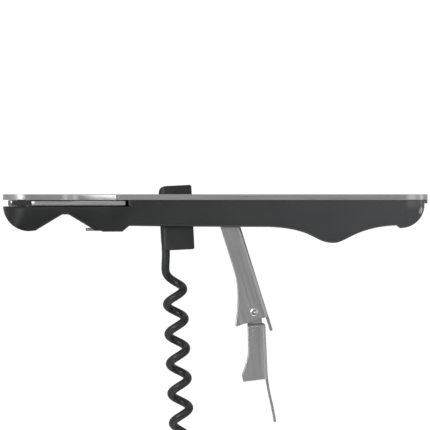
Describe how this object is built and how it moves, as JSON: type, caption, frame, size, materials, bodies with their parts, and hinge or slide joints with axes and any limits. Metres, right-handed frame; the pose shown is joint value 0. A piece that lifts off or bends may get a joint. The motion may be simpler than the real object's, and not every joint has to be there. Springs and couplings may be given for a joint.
{
  "type": "push-pull corkscrew",
  "caption": "Pocket push-pull corkscrew: steel spine on a moulded handle, swinging worm, folding two-step lever, foil knife and cap opener.",
  "frame": {"origin": "on the handle's far flat side, under the line of the two axles, halfway along the spine", "axes": "+X along the handle from the knife end to the tail, +Y across the handle from the levers to the spine, +Z from the far side, on which it lies, to the near side"},
  "size_m": [0.14, 0.0847, 0.017],
  "materials": {
    "casing": "satin moulded charcoal",
    "spine": "brushed",
    "tooth": "pressed, satin",
    "pins": "polished",
    "washers": "matt, natural",
    "knife": "ground and polished",
    "carrier": "satin moulded near black",
    "worm": "satin dark non-stick coat",
    "levers": "satin sheet"
  },
  "bodies": {
    "handle": {"near_casing": "casing", "far_casing": "casing", "spine_plate": "spine", "opener_tooth": "tooth", "knife_post": "pins", "carrier_axle": "pins", "lever_axle": "pins", "carrier_washer_near": "washers", "carrier_washer_far": "washers", "lever_washer_near": "washers", "lever_washer_far": "washers", "knife_washer_bottom": "washers", "knife_washer_top": "washers", "bridge_screw_near": "pins", "bridge_screw_far": "pins", "tail_screw_near": "pins", "tail_screw_far": "pins", "nose_screw": "pins", "lump_screw": "pins"},
    "knife": {"foil_knife": "knife"},
    "worm_arm": {"worm_carrier": "carrier", "worm": "worm"},
    "upper_arm": {"upper_lever": "levers", "lever_rivet_near": "pins", "lever_rivet_far": "pins"},
    "lower_arm": {"lower_lever": "levers"}
  },
  "joints": [
    {"name": "worm_swing", "type": "hinge", "parent": "handle", "child": "worm_arm", "pos_m": [-0.0131, 0, 0.0085], "axis": [0, 0, 1], "range_deg": [-33, 85]},
    {"name": "upper_lever_swing", "type": "hinge", "parent": "handle", "child": "upper_arm", "pos_m": [0.00321, 0, 0.0085], "axis": [0, 0, 1], "range_deg": [-28.3, 72.7]},
    {"name": "lower_lever_swing", "type": "hinge", "parent": "upper_arm", "child": "lower_arm", "pos_m": [0.0128, -0.03273, 0.0085], "axis": [0, 0, 1], "range_deg": [-3.8, 9.5]},
    {"name": "knife_swing", "type": "hinge", "parent": "handle", "child": "knife", "pos_m": [-0.06381, 0.00307, 0.0085], "axis": [0, -1, 0], "range_deg": [0, 180]}
  ],
  "couplings": [
    {"joint": "upper_lever_swing", "follows": "worm_swing", "ratio": 0.85412},
    {"joint": "lower_lever_swing", "follows": "worm_swing", "ratio": 0.11059}
  ]
}
